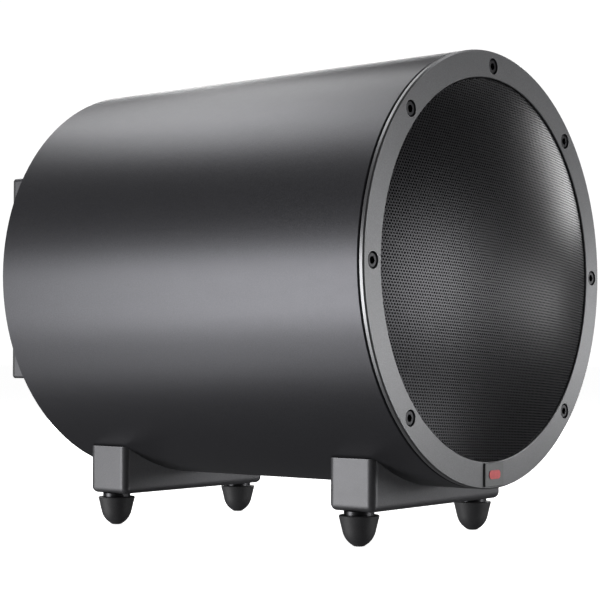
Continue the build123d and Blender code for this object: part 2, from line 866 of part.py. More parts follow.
def make_fuse_cap():
    cap = FUSE_FLANGE_BACK + 0.4
    with BuildPart() as piece:
        with BuildSketch(back_plane(364.0)):
            with Locations(FUSE_AT):
                Circle(FUSE_STEM_R)
        extrude(amount=cap - 364.0)
        with BuildSketch(back_plane(cap)):
            with Locations(FUSE_AT):
                Circle(6.6)
                with PolarLocations(6.9, 18):
                    Circle(0.6, mode=Mode.SUBTRACT)
        extrude(amount=7.0)
        with BuildSketch(back_plane(cap + 5.6)):
            with Locations(FUSE_AT):
                Rectangle(8.0, 1.4)
        extrude(amount=3.0, mode=Mode.SUBTRACT)
    return piece


INLET_PINS = [(-7.0, -1.6), (0.0, 2.4), (7.0, -1.6)]
INLET_FRONT = 366.0


def make_power_inlet():
    """Appliance inlet: four flanged walls and a back block around a pocket for the connector."""
    pocket_front = PANEL_BACK - 14.0
    side = 12.2
    floor = -8.3
    top = 8.3
    cut = 4.0
    pocket = [(-side, floor), (side, floor), (side, top - cut), (side - cut, top)]
    pocket += [(cut - side, top), (-side, top - cut)]
    joint = JOINT_GAP / 2
    with BuildPart() as piece:
        with BuildSketch(back_plane(INLET_FRONT)):
            with Locations(INLET_AT):
                Rectangle(27.0, 20.0)
        extrude(amount=PANEL_BACK - INLET_FRONT)
        with BuildSketch(back_plane(PANEL_BACK)):
            with Locations(INLET_AT):
                RectangleRounded(32.0, 25.0, 1.5)
        extrude(amount=2.0)
        with BuildSketch(back_plane(pocket_front)):
            with Locations(INLET_AT):
                Polygon(*pocket)
            with Locations((INLET_AT[0] - side - joint, INLET_AT[1])):
                Rectangle(JOINT_GAP, 26.0)
            with Locations((INLET_AT[0] + side + joint, INLET_AT[1])):
                Rectangle(JOINT_GAP, 26.0)
        extrude(amount=18.0, mode=Mode.SUBTRACT)
        with BuildSketch(back_plane(pocket_front)):
            with Locations(INLET_AT):
                Rectangle(28.0, 21.0)
        extrude(amount=JOINT_GAP, mode=Mode.SUBTRACT)
        with BuildSketch(back_plane(INLET_FRONT - 1.0)):
            with Locations(*[(INLET_AT[0] + u, INLET_AT[1] + v) for u, v in INLET_PINS]):
                Rectangle(2.0, 4.0)
        extrude(amount=10.0, mode=Mode.SUBTRACT)
    return piece


def make_inlet_pins():
    with BuildPart() as piece:
        with BuildSketch(back_plane(360.0)):
            with Locations(*[(INLET_AT[0] + u, INLET_AT[1] + v) for u, v in INLET_PINS]):
                Rectangle(2.0, 4.0)
        extrude(amount=PANEL_BACK - 360.0)
    return piece


# ---- Stand ----
CRADLE_BOLT_R = 4.0


def cradle_bolt_planes(station):
    """Radial planes of a cradle's two bolts, each with its origin on the tube's axis."""
    planes = []
    for side in (-1, 1):
        angle = radians(CRADLE_BOLT_ANGLE * side)
        down = Vector(sin(angle), 0, -cos(angle))
        origin = (0, FACE_Y + station, AXIS_HEIGHT)
        planes.append(Plane(origin=origin, x_dir=(0, 1, 0), z_dir=down))
    return planes


def make_cradle(station):
    middle = FACE_Y + station
    with BuildPart() as piece:
        with BuildSketch(Plane.XY.offset(CRADLE_BOTTOM)):
            with Locations((0, middle)):
                RectangleRounded(CRADLE_WIDTH, CRADLE_THICKNESS, CRADLE_EDGE_R)
        extrude(amount=CRADLE_TOP - CRADLE_BOTTOM)
        fillet(piece.faces().sort_by(Axis.Z)[0].edges(), CRADLE_EDGE_R - 0.5)
        with BuildSketch(back_plane(station - CRADLE_THICKNESS)):
            Circle(TUBE_R)
        extrude(amount=2 * CRADLE_THICKNESS, mode=Mode.SUBTRACT)
        for plane in cradle_bolt_planes(station):
            with BuildSketch(plane.offset(TUBE_R - 2)):
                Circle(CRADLE_BOLT_R + HOLE_GAP)
            extrude(amount=13.0, mode=Mode.SUBTRACT)
        with BuildSketch(Plane.XY.offset(CRADLE_BOTTOM)):
            with Locations((-FOOT_X, middle), (FOOT_X, middle)):
                Circle(4.0 + HOLE_GAP)
        extrude(amount=17.0, mode=Mode.SUBTRACT)
    return piece


def make_cradle_bolts():
    """Button head bolts from inside the tube into the cradles."""
    head_top = TUBE_INNER_R - 5.0
    with BuildPart() as piece:
        for station in CRADLE_STATIONS:
            for plane in cradle_bolt_planes(station):
                with BuildSketch(plane.offset(head_top)):
                    Circle(7.0)
                extrude(amount=4.2)
                with BuildSketch(plane.offset(head_top)):
                    Circle(CRADLE_BOLT_R)
                extrude(amount=TUBE_R + 9.0 - head_top)
                with BuildSketch(plane.offset(head_top)):
                    RegularPolygon(5.0 / sqrt(3), 6)
                extrude(amount=2.5, mode=Mode.SUBTRACT)
    return piece


def make_feet():
    """Bullet-shaped rubber feet: a tapered flank, a round nose and a small flat tip."""
    with BuildPart() as piece:
        for station in CRADLE_STATIONS:
            for x in (-FOOT_X, FOOT_X):
                plane = Plane(origin=(x, FACE_Y + station, 0), x_dir=(1, 0, 0), z_dir=(0, -1, 0))
                with BuildSketch(plane):
                    with BuildLine():
                        Polyline((0, FOOT_TOP), (14.3, FOOT_TOP), (14.8, FOOT_TOP - 0.5), (12.0, 10.5))
                        ThreePointArc((12.0, 10.5), (9.4, 5.0), (4.9, 0.9))
                        ThreePointArc((4.9, 0.9), (3.95, 0.25), (2.9, 0))
                        Polyline((2.9, 0), (0, 0), (0, FOOT_TOP))
                    make_face()
                revolve(axis=Axis((x, FACE_Y + station, 0), (0, 0, 1)))
        with BuildSketch(Plane.XY.offset(FOOT_TOP - 12.0)):
            with Locations(*foot_spots()):
                Circle(4.0)
        extrude(amount=13.0, mode=Mode.SUBTRACT)
    return piece


def foot_spots():
    return [(x, FACE_Y + station) for station in CRADLE_STATIONS for x in (-FOOT_X, FOOT_X)]


def make_foot_studs():
    """Flanged studs that hold the feet a little below the cradles."""
    with BuildPart() as piece:
        with BuildSketch(Plane.XY.offset(FOOT_TOP - 12.0)):
            with Locations(*foot_spots()):
                Circle(4.0)
        extrude(amount=CRADLE_BOTTOM + 15.0 - FOOT_TOP + 12.0)
        with BuildSketch(Plane.XY.offset(FOOT_TOP)):
            with Locations(*foot_spots()):
                Circle(11.0)
        extrude(amount=CRADLE_BOTTOM - FOOT_TOP)
    return piece


def lead_pair(route, half_spacing):
    """Two parallel leads below the driver, from a route of (distance under the axis, station)."""
    return [[(side * half_spacing, s, -drop) for drop, s in route] for side in (-1, 1)]


os.makedirs("parts", exist_ok=True)

finish(make_enclosure_tube(), "enclosure_tube")
finish(make_front_baffle(), "front_baffle")
finish(band(TUBE_R - 2.5, TUBE_INNER_R, RING_FLANGE, TUBE_FRONT), "ring_gasket")
finish(make_trim_ring(), "trim_ring")
finish(socket_screws(RING_SCREWS_AT, 0.8, 5.0, 6.0, 3.0, 25.0, 5.0), "ring_screws")
finish(make_grille(), "grille")
finish(make_badge_plate(), "badge_plate")
finish(make_badge_bar(), "badge_bar")

with BuildPart() as driver_gasket:
    with BuildSketch(back_plane(20.0)):
        Circle(132.0)
        Circle(119.0, mode=Mode.SUBTRACT)
        with Locations(*DRIVER_SCREWS_AT):
            Circle(2.7, mode=Mode.SUBTRACT)
    extrude(amount=DRIVER_SEAT - 20.0)
finish(driver_gasket, "driver_gasket")
finish(make_basket(), "driver_basket")
finish(socket_screws(DRIVER_SCREWS_AT, 11.2, 4.75, 2.8, 2.5, 22.0, 3.0), "driver_screws")
finish(make_surround(), "surround")
cone_outline = [
    (CONE_R - 5.8, CONE_FRONT),
    (CONE_R, CONE_FRONT),
    (CONE_R, CONE_FRONT + CONE_SKIN),
    (CONE_R - 5.1, CONE_FRONT + CONE_SKIN),
    (COIL_R, CONE_NECK_BACK),
    (COIL_R, CONE_NECK_BACK - 1.6),
]
finish(turned(cone_outline), "cone")
finish(make_dust_cap(), "dust_cap")
finish(make_spider(), "spider")
finish(band(COIL_R, COIL_R - 0.5, 56.0, 114.0), "coil_former")
finish(band(27.2, COIL_R, 90.0, 114.0), "voice_coil")
finish(band(66.0, 28.0, TOP_PLATE_FRONT, TOP_PLATE_BACK), "top_plate")
finish(band(74.0, 38.0, TOP_PLATE_BACK, MAGNET_BACK), "magnet")
yoke_outline = [
    (10.0, TOP_PLATE_FRONT),
    (24.2, TOP_PLATE_FRONT),
    (24.2, MAGNET_BACK),
    (66.0, MAGNET_BACK),
    (66.0, YOKE_BACK - 2.0),
    (64.0, YOKE_BACK),
    (10.0, YOKE_BACK),
]
finish(turned(yoke_outline), "pole_yoke")
finish(make_terminals(), "driver_terminals")
finish(make_wires(lead_pair(TINSEL_ROUTE, 8.0), 0.8), "tinsel_leads")
finish(make_wires(lead_pair(SPEAKER_LEAD_ROUTE, 8.0), 1.4), "speaker_leads")

finish(make_rear_baffle(), "rear_baffle")
finish(make_amp_gasket(), "amp_gasket")
finish(make_amp_tub(), "amp_tub")
finish(make_amp_housing(), "amp_housing")
finish(make_control_panel(), "control_panel")
finish(make_heat_sink(), "heat_sink")
finish(socket_screws(PANEL_SCREWS_AT, PANEL_BACK + 2.6, 3.5, 2.6, 2.0, -48.0, 3.0), "panel_screws")
finish(make_amp_board(), "amp_board")
finish(make_transformer(), "transformer")
finish(make_capacitors(), "filter_capacitors")
finish(make_transistors(), "power_transistors")
finish(make_potentiometers(), "potentiometers")
finish(make_rca_jacks(), "rca_jacks")
finish(make_post_bases(), "post_bases")
finish(make_post_studs(), "post_studs")
finish(make_power_inlet(), "power_inlet")
finish(make_inlet_pins(), "inlet_pins")
finish(make_rocker_frame(), "rocker_frame")
finish(make_fuse_holder(), "fuse_holder")
finish(make_polarity_switch(), "polarity_switch")
finish(make_toggle_switch(), "toggle_switch")
led_steps = [(3.2, PANEL_FRONT - 3.0, PANEL_FRONT), (2.5, PANEL_FRONT, PANEL_BACK + 1.0)]
finish(disc_stack(LED_AT, led_steps), "power_led")

finish(make_knob(LEVEL_AT), "level_knob")
finish(make_knob(CROSSOVER_AT), "crossover_knob")
finish(make_power_rocker(), "power_rocker")
finish(make_toggle_lever(), "mode_toggle")
finish(make_polarity_slider(), "polarity_slider")
for number, spot in enumerate(POSTS_AT, start=1):
    finish(make_post_nut(spot), f"post_nut_{number}")
finish(make_fuse_cap(), "fuse_cap")

finish(make_cradle(CRADLE_STATIONS[0]), "front_cradle")
finish(make_cradle(CRADLE_STATIONS[1]), "rear_cradle")
finish(make_cradle_bolts(), "cradle_bolts")
finish(make_feet(), "feet")
finish(make_foot_studs(), "foot_studs")
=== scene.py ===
import json
import math

import bmesh
import bpy
from mathutils import Matrix, Vector


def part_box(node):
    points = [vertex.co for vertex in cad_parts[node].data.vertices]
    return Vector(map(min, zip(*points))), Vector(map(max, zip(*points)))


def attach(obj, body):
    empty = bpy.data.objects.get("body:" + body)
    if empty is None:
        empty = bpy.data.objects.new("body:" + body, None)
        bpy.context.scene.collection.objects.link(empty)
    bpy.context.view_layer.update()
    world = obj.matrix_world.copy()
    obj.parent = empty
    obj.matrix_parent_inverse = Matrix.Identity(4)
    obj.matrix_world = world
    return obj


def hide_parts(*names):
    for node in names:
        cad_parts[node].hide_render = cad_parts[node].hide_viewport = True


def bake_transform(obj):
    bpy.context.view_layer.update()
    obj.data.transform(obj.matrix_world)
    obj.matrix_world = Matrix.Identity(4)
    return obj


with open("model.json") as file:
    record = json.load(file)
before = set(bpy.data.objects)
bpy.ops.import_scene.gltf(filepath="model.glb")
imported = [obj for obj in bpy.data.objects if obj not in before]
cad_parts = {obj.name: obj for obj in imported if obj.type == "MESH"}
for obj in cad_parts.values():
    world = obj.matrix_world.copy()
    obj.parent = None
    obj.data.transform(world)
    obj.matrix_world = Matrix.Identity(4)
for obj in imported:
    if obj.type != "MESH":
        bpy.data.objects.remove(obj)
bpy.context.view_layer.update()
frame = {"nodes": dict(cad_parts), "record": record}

NODES = frame["nodes"]
BODY_OF = {n: b for b, members in frame["record"]["behaviour"]["bodies"].items() for n in members}
SLOT_OF = {s["node"]: s["material_slot"] for s in frame["record"]["subparts"]}
MM = 0.001


# ---------------------------------------------------------------- camera
camera_data = bpy.data.cameras.new("camera")
camera_data.sensor_width = 36.0
camera_data.lens = 97.44
camera_data.shift_y = 0.066
camera_data.clip_start = 0.05
camera = bpy.data.objects.new("camera", camera_data)
bpy.context.scene.collection.objects.link(camera)
bpy.context.scene.camera = camera
azimuth, elevation, roll = math.radians(-51.42), math.radians(-0.674), math.radians(0.166)
camera.matrix_world = (
    Matrix.Translation((-1.016, -0.8215, 0.1347))
    @ Matrix.Rotation(azimuth, 4, "Z")
    @ Matrix.Rotation(math.pi / 2 - elevation, 4, "X")
    @ Matrix.Rotation(roll, 4, "Z")
)


# ---------------------------------------------------------------- materials
class Shading:
    """A node tree with one Principled shader, and short calls for the nodes that this scene uses."""

    def __init__(self, name):
        self.material = bpy.data.materials.new(name)
        self.material.use_nodes = True
        self.tree = self.material.node_tree
        self.tree.nodes.clear()
        output = self.tree.nodes.new("ShaderNodeOutputMaterial")
        self.shader = self.tree.nodes.new("ShaderNodeBsdfPrincipled")
        self.tree.links.new(self.shader.outputs["BSDF"], output.inputs["Surface"])
        coordinates = self.tree.nodes.new("ShaderNodeTexCoord")
        self.place = coordinates.outputs["Object"]
        self.height = None

    def set(self, socket, value):
        self._feed(self.shader.inputs[socket], value)

    def _feed(self, target, value):
        """value: another node's output, a colour or a number."""
        if isinstance(value, bpy.types.NodeSocket):
            self.tree.links.new(value, target)
        elif isinstance(value, tuple):
            target.default_value = (*value, 1.0)
        else:
            target.default_value = value

    def stretched(self, sx=1.0, sy=1.0, sz=1.0, turn=(0.0, 0.0, 0.0), place=None):
        node = self.tree.nodes.new("ShaderNodeMapping")
        node.inputs["Scale"].default_value = (sx, sy, sz)
        node.inputs["Rotation"].default_value = turn
        self.tree.links.new(place or self.place, node.inputs["Vector"])
        return node.outputs["Vector"]

    def noise(self, scale, detail=3.0, rough=0.55, place=None, distortion=0.0):
        node = self.tree.nodes.new("ShaderNodeTexNoise")
        node.inputs["Scale"].default_value = scale
        node.inputs["Detail"].default_value = detail
        node.inputs["Roughness"].default_value = rough
        node.inputs["Distortion"].default_value = distortion
        self.tree.links.new(place or self.place, node.inputs["Vector"])
        return node.outputs["Fac"]

    def cells(self, scale, place=None, randomness=1.0):
        node = self.tree.nodes.new("ShaderNodeTexVoronoi")
        node.inputs["Scale"].default_value = scale
        node.inputs["Randomness"].default_value = randomness
        self.tree.links.new(place or self.place, node.inputs["Vector"])
        return node.outputs["Distance"]

    def waves(self, scale, direction, distortion=0.0):
        """Parallel ridges, 10 / pi of them in a metre for each unit of scale."""
        node = self.tree.nodes.new("ShaderNodeTexWave")
        node.bands_direction = direction
        node.inputs["Scale"].default_value = scale
        node.inputs["Distortion"].default_value = distortion
        self.tree.links.new(self.place, node.inputs["Vector"])
        return node.outputs["Fac"]

    def span(self, value, low, high, to_low=0.0, to_high=1.0):
        node = self.tree.nodes.new("ShaderNodeMapRange")
        node.inputs["From Min"].default_value = low
        node.inputs["From Max"].default_value = high
        node.inputs["To Min"].default_value = to_low
        node.inputs["To Max"].default_value = to_high
        self.tree.links.new(value, node.inputs["Value"])
        return node.outputs["Result"]

    def math(self, kind, a, b=0.0):
        node = self.tree.nodes.new("ShaderNodeMath")
        node.operation = kind
        self._feed(node.inputs[0], a)
        self._feed(node.inputs[1], b)
        return node.outputs[0]

    def mix(self, share, a, b):
        node = self.tree.nodes.new("ShaderNodeMix")
        node.data_type = "RGBA"
        self._feed(node.inputs["Factor"], share)
        self._feed(node.inputs[6], a)
        self._feed(node.inputs[7], b)
        return node.outputs[2]

    def edges(self, radius=0.0006):
        """Nought on flat faces, rising towards one at an outer edge."""
        bevel = self.tree.nodes.new("ShaderNodeBevel")
        bevel.samples = 4
        bevel.inputs["Radius"].default_value = radius
        geometry = self.tree.nodes.new("ShaderNodeNewGeometry")
        dot = self.tree.nodes.new("ShaderNodeVectorMath")
        dot.operation = "DOT_PRODUCT"
        self.tree.links.new(bevel.outputs["Normal"], dot.inputs[0])
        self.tree.links.new(geometry.outputs["Normal"], dot.inputs[1])
        return self.span(dot.outputs["Value"], 1.0, 0.86)

    def bump(self, value, depth, strength=1.0):
        node = self.tree.nodes.new("ShaderNodeBump")
        node.inputs["Strength"].default_value = strength
        node.inputs["Distance"].default_value = depth
        self.tree.links.new(value, node.inputs["Height"])
        if self.height is not None:
            self.tree.links.new(self.height, node.inputs["Normal"])
        self.height = node.outputs["Normal"]
        self.tree.links.new(self.height, self.shader.inputs["Normal"])


def shade(color, factor):
    return tuple(min(1.0, c * factor) for c in color)


def coated(name, color, rough, metallic, grain, depth, spread, wear=0.0):
    """Powder coat or anodising: a fine grain and faint clouding and, with wear, paler outer edges."""
    s = Shading(name)
    cloud = s.noise(9.0, 4.0, 0.6)
    speck = s.noise(grain, 2.0, 0.6)
    tone = s.mix(s.span(cloud, 0.3, 0.7), shade(color, 1.0 - spread), shade(color, 1.0 + spread))
    tone = s.mix(s.span(speck, 0.35, 0.7, 0.0, 0.35), tone, shade(color, 1.9))
    if wear:
        tone = s.mix(s.math("MULTIPLY", s.edges(), wear), tone, shade(color, 3.2))
    s.set("Base Color", tone)
    s.set("Metallic", metallic)
    blotch = s.span(s.noise(160.0, 4.0, 0.6), 0.25, 0.75, rough - 0.012, rough + 0.012)
    s.set("Roughness", s.math("ADD", blotch, s.span(speck, 0.3, 0.7, -0.03, 0.05)))
    s.bump(speck, depth * MM)
    s.bump(s.noise(grain * 0.25, 2.0, 0.5), depth * 1.6 * MM, 0.5)
    return s.material


def brushed(name, color, rough, direction="X", scale=1400.0, metallic=1.0):
    """Metal with fine machining lines across one direction."""
    s = Shading(name)
    squeeze = {"X": (1.0, 0.02, 1.0), "Y": (1.0, 1.0, 0.02), "Z": (0.02, 1.0, 1.0)}[direction]
    lines = s.noise(scale, 3.0, 0.6, place=s.stretched(*squeeze))
    stain = s.noise(60.0, 4.0, 0.6)
    tone = s.mix(s.span(lines, 0.3, 0.7), shade(color, 0.82), shade(color, 1.14))
    tone = s.mix(s.span(stain, 0.5, 0.8, 0.0, 0.3), tone, shade(color, 0.7))
    s.set("Base Color", tone)
    s.set("Metallic", metallic)
    s.set("Roughness", s.span(lines, 0.25, 0.75, rough - 0.07, rough + 0.09))
    s.bump(lines, 0.008 * MM)
    return s.material


def moulded(name, color, rough, grain=900.0, depth=0.03, gloss=0.5):
    """Moulded plastic or rubber: spark-eroded grain, faint clouding, a little dust in the grain."""
    s = Shading(name)
    pits = s.cells(grain)
    cloud = s.noise(28.0, 4.0, 0.6)
    tone = s.mix(s.span(cloud, 0.3, 0.7), shade(color, 0.85), shade(color, 1.2))
    tone = s.mix(s.span(pits, 0.0, 0.7, 0.25, 0.0), tone, shade(color, 1.8))
    s.set("Base Color", tone)
    s.set("Roughness", s.span(s.noise(220.0, 4.0), 0.3, 0.7, rough - 0.06, rough + 0.06))
    s.set("Specular IOR Level", gloss)
    s.bump(pits, depth * MM)
    return s.material


def rubber(name, color, rough=0.62):
    s = Shading(name)
    grain = s.noise(1300.0, 4.0, 0.65)
    dust = s.noise(45.0, 6.0, 0.7)
    tone = s.mix(s.span(grain, 0.3, 0.72), shade(color, 0.75), shade(color, 1.5))
    tone = s.mix(s.span(dust, 0.52, 0.85, 0.0, 0.35), tone, shade(color, 2.2))
    s.set("Base Color", tone)
    s.set("Roughness", s.span(dust, 0.3, 0.7, rough - 0.06, rough + 0.08))
    s.set("Specular IOR Level", 0.4)
    s.bump(grain, 0.035 * MM)
    return s.material


def woven(name, color, other, scale):
    """Plain weave of impregnated cloth."""
    s = Shading(name)
    warp = s.waves(scale, "X")
    weft = s.waves(scale, "Z")
    thread = s.math("MAXIMUM", warp, weft)
    s.set("Base Color", s.mix(s.span(thread, 0.2, 0.95), other, color))
    s.set("Roughness", s.span(s.noise(90.0, 3.0), 0.3, 0.7, 0.7, 0.85))
    s.bump(thread, 0.15 * MM)
    return s.material


def paper(name, color):
    s = Shading(name)
    fibre = s.noise(420.0, 6.0, 0.75, place=s.stretched(1.0, 0.35, 1.0), distortion=1.2)
    felt = s.noise(60.0, 4.0, 0.6)
    tone = s.mix(s.span(fibre, 0.35, 0.7), shade(color, 0.7), shade(color, 1.7))
    s.set("Base Color", s.mix(s.span(felt, 0.4, 0.8, 0.0, 0.4), tone, shade(color, 1.3)))
    s.set("Roughness", s.span(fibre, 0.3, 0.7, 0.72, 0.9))
    s.bump(fibre, 0.12 * MM)
    return s.material


def board(name, color):
    """Painted fibreboard, with a little orange peel from the roller."""
    s = Shading(name)
    peel = s.noise(260.0, 3.0, 0.5)
    fibre = s.noise(900.0, 4.0, 0.7)
    s.set("Base Color", s.mix(s.span(fibre, 0.3, 0.7), shade(color, 0.8), shade(color, 1.4)))
    s.set("Roughness", s.span(peel, 0.3, 0.7, 0.5, 0.68))
    s.bump(peel, 0.08 * MM)
    s.bump(fibre, 0.03 * MM)
    return s.material


def laminate(name, color):
    """Green solder mask with copper tracks under it and pale pads."""
    s = Shading(name)
    flat = s.stretched(1.0, 0.0, 1.0)
    brick = s.tree.nodes.new("ShaderNodeTexBrick")
    brick.offset = 0.37
    brick.squash = 0.6
    brick.inputs["Scale"].default_value = 130.0
    brick.inputs["Mortar Size"].default_value = 0.06
    brick.inputs["Mortar Smooth"].default_value = 0.2
    brick.inputs["Color1"].default_value = (0.0, 0.0, 0.0, 1.0)
    brick.inputs["Color2"].default_value = (0.0, 0.0, 0.0, 1.0)
    brick.inputs["Mortar"].default_value = (1.0, 1.0, 1.0, 1.0)
    s.tree.links.new(s.stretched(1.0, 1.0, 1.0, (math.pi / 2, 0.0, 0.0), flat), brick.inputs["Vector"])
    pads = s.span(s.cells(160.0, place=flat, randomness=0.4), 0.16, 0.2, 1.0, 0.0)
    tone = s.mix(brick.outputs["Color"], color, shade(color, 1.9))
    s.set("Base Color", s.mix(pads, tone, (0.62, 0.6, 0.56)))
    s.set("Roughness", s.span(s.noise(80.0), 0.3, 0.7, 0.28, 0.42))
    s.bump(brick.outputs["Color"], 0.05 * MM)
    return s.material


def wound(name, color, direction, scale, rough, metallic=0.0):
    """Layers of tape or wire: fine parallel ridges."""
    s = Shading(name)
    ridge = s.waves(scale, direction, 0.6)
    # The colour runs darker in the grooves between ridges and lighter on their crests: painted shade and
    # painted highlight.
    tone = s.mix(s.span(ridge, 0.1, 0.9), shade(color, 0.55), shade(color, 1.25))
    s.set("Base Color", s.mix(s.span(s.noise(50.0, 4.0), 0.4, 0.8, 0.0, 0.4), tone, shade(color, 0.7)))
    s.set("Metallic", metallic)
    s.set("Roughness", s.span(ridge, 0.0, 1.0, rough + 0.1, rough))
    s.bump(ridge, 0.06 * MM)
    return s.material


def enamel(name, color, rough):
    s = Shading(name)
    cloud = s.noise(300.0, 4.0, 0.6)
    s.set("Base Color", s.mix(s.span(cloud, 0.3, 0.7), shade(color, 0.86), shade(color, 1.12)))
    s.set("Roughness", s.span(cloud, 0.3, 0.7, rough - 0.05, rough + 0.08))
    s.set("Coat Weight", 0.3)
    s.set("Coat Roughness", 0.15)
    s.bump(s.noise(900.0, 2.0), 0.01 * MM)
    return s.material


FINISHES = {
    "tube_coat": coated("tube_coat", (0.060, 0.060, 0.066), 0.36, 0.62, 1300.0, 0.034, 0.03),
    "trim_coat": coated("trim_coat", (0.172, 0.173, 0.178), 0.33, 0.66, 1500.0, 0.02, 0.04, wear=0.5),
    "cradle_coat": coated("cradle_coat", (0.084, 0.084, 0.089), 0.42, 0.45, 1200.0, 0.03, 0.08, wear=0.35),
    "grille_paint": coated("grille_paint", (0.031, 0.031, 0.034), 0.31, 0.45, 2200.0, 0.006, 0.05),
    "black_screws": brushed("black_screws", (0.055, 0.055, 0.058), 0.34, "Y", 900.0),
    "plain_steel": brushed("plain_steel", (0.46, 0.46, 0.47), 0.32, "X", 1100.0),
    "gasket_foam": rubber("gasket_foam", (0.010, 0.010, 0.011), 0.8),
    "badge_paint": coated("badge_paint", (0.135, 0.137, 0.139), 0.42, 0.55, 1800.0, 0.015, 0.05, wear=0.15),
    "badge_enamel": enamel("badge_enamel", (0.95, 0.14, 0.15), 0.36),
    "baffle_board": board("baffle_board", (0.016, 0.016, 0.017)),
    "basket_casting": coated("basket_casting", (0.06, 0.06, 0.064), 0.55, 0.3, 700.0, 0.06, 0.15),
    "foot_rubber": rubber("foot_rubber", (0.036, 0.036, 0.038), 0.55),
    "surround_rubber": rubber("surround_rubber", (0.014, 0.014, 0.015), 0.48),
    "cone_paper": paper("cone_paper", (0.030, 0.030, 0.030)),
    "spider_cloth": woven("spider_cloth", (0.52, 0.34, 0.12), (0.24, 0.13, 0.03), 0.5 / (1.1 * MM)),
    "former_foil": brushed("former_foil", (0.78, 0.78, 0.79), 0.28, "Y", 700.0),
    "copper_wire": wound("copper_wire", (0.80, 0.36, 0.16), "Y", 1200.0, 0.28, 1.0),
    "ferrite": moulded("ferrite", (0.045, 0.045, 0.048), 0.55, 500.0, 0.05),
    "terminal_plastic": moulded("terminal_plastic", (0.03, 0.03, 0.031), 0.5),
    "lead_sheath": enamel("lead_sheath", (0.36, 0.02, 0.02), 0.42),
    "tub_sheet": brushed("tub_sheet", (0.52, 0.52, 0.52), 0.36, "X", 500.0),
    "housing_coat": coated("housing_coat", (0.080, 0.080, 0.086), 0.44, 0.45, 1200.0, 0.03, 0.08, wear=0.4),
    "panel_coat": coated("panel_coat", (0.032, 0.032, 0.034), 0.50, 0.2, 1400.0, 0.03, 0.08, wear=0.5),
    "fin_anodise": brushed("fin_anodise", (0.045, 0.045, 0.048), 0.42, "Z", 700.0, 0.85),
    "board_laminate": laminate("board_laminate", (0.012, 0.14, 0.05)),
    "winding_tape": wound("winding_tape", (0.55, 0.40, 0.07), "X", 125.0, 0.35),
    "can_sleeve": enamel("can_sleeve", (0.018, 0.03, 0.08), 0.3),
    "moulded_black": moulded("moulded_black", (0.022, 0.022, 0.023), 0.48),
    "gold_plate": brushed("gold_plate", (0.95, 0.66, 0.26), 0.18, "Y", 900.0),
    "bright_nickel": brushed("bright_nickel", (0.78, 0.77, 0.74), 0.16, "Y", 1000.0),
    "led_lens": enamel("led_lens", (0.05, 0.42, 0.14), 0.18),
    "red_cap": moulded("red_cap", (0.50, 0.018, 0.018), 0.34, 700.0, 0.015),
    "black_cap": moulded("black_cap", (0.018, 0.018, 0.019), 0.34, 700.0, 0.015),
}
# A darker copy of the grille paint for the back of the sheet and the walls of the holes: painted shade.
GRILLE_PAINTED_SHADE = coated("grille_painted_shade", (0.006, 0.006, 0.0065), 0.6, 0.0, 2200.0, 0.006, 0.05)
WHITE_INK = coated("white_ink", (0.62, 0.62, 0.60), 0.55, 0.0, 1800.0, 0.01, 0.06)

for name, node in NODES.items():
    node.data.materials.clear()
    node.data.materials.append(FINISHES[SLOT_OF[name]])


# ---------------------------------------------------------------- new pieces
def add_mesh(name, points, faces, material, body, slot_name, smooth=False):
    mesh = bpy.data.meshes.new(name)
    mesh.from_pydata(points, [], faces)
    mesh.validate()
    mesh.materials.append(material)
    for face in mesh.polygons:
        face.use_smooth = smooth
    mesh.update()
    piece = bpy.data.objects.new(name, mesh)
    bpy.context.scene.collection.objects.link(piece)
    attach(piece, body)
    return piece


# The grille: one perforated dome with a skirt. Each row of holes lies half a pitch along from the next, and
# the rows run down a little towards +X.
grille_lo, grille_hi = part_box("grille")
axis_x = (grille_lo.x + grille_hi.x) / 2
axis_z = (grille_lo.z + grille_hi.z) / 2
SKIRT_R = 139.6 * MM
SKIRT_SIDES = 180
DOME_R = 492.0 * MM
SHEET = 1.2 * MM
HOLE_PITCH = 2.381 * MM
ROW_PITCH = HOLE_PITCH * math.sqrt(3) / 2
HOLE_R = 1.59 / 2 * MM
HOLE_SIDES = 8
ROW_SLOPE = math.radians(-3.0)
CELL_R = HOLE_PITCH / math.sqrt(3)
LAST_CELL_R = SKIRT_R + CELL_R * 0.3
LAST_HOLE_R = SKIRT_R - HOLE_R * 0.65
HEXAGON = [math.radians(90 + 60 * k) for k in range(6)]
OCTAGON = [math.radians(90 + 360.0 / HOLE_SIDES * k) for k in range(HOLE_SIDES)]
dome_centre_y = grille_lo.y + DOME_R
skirt_end_y = grille_hi.y - 0.8 * MM


def on_dome(u, v, depth=0.0):
    """A spot on the sheet, held inside the skirt."""
    reach = math.hypot(u, v)
    if reach > SKIRT_R:
        u, v = u * SKIRT_R / reach, v * SKIRT_R / reach
    radius = DOME_R - depth
    return (axis_x + u, dome_centre_y - math.sqrt(radius * radius - u * u - v * v), axis_z + v)


def turned_row(u, v):
    cos, sin = math.cos(ROW_SLOPE), math.sin(ROW_SLOPE)
    return u * cos - v * sin, u * sin + v * cos


def hole_centres(reach):
    rows = int(reach / ROW_PITCH) + 1
    columns = int(reach / HOLE_PITCH) + 2
    for row in range(-rows, rows + 1):
        for column in range(-columns, columns + 1):
            u, v = (column + 0.5 * (row % 2)) * HOLE_PITCH, row * ROW_PITCH
            if math.hypot(u, v) < reach:
                yield u, v


def hole_rim(u, v, depth):
    """The corners of one hole, at a depth below the sheet's front."""
    return [
        on_dome(*turned_row(u + HOLE_R * math.cos(a), v + HOLE_R * math.sin(a)), depth)
        for a in OCTAGON
    ]


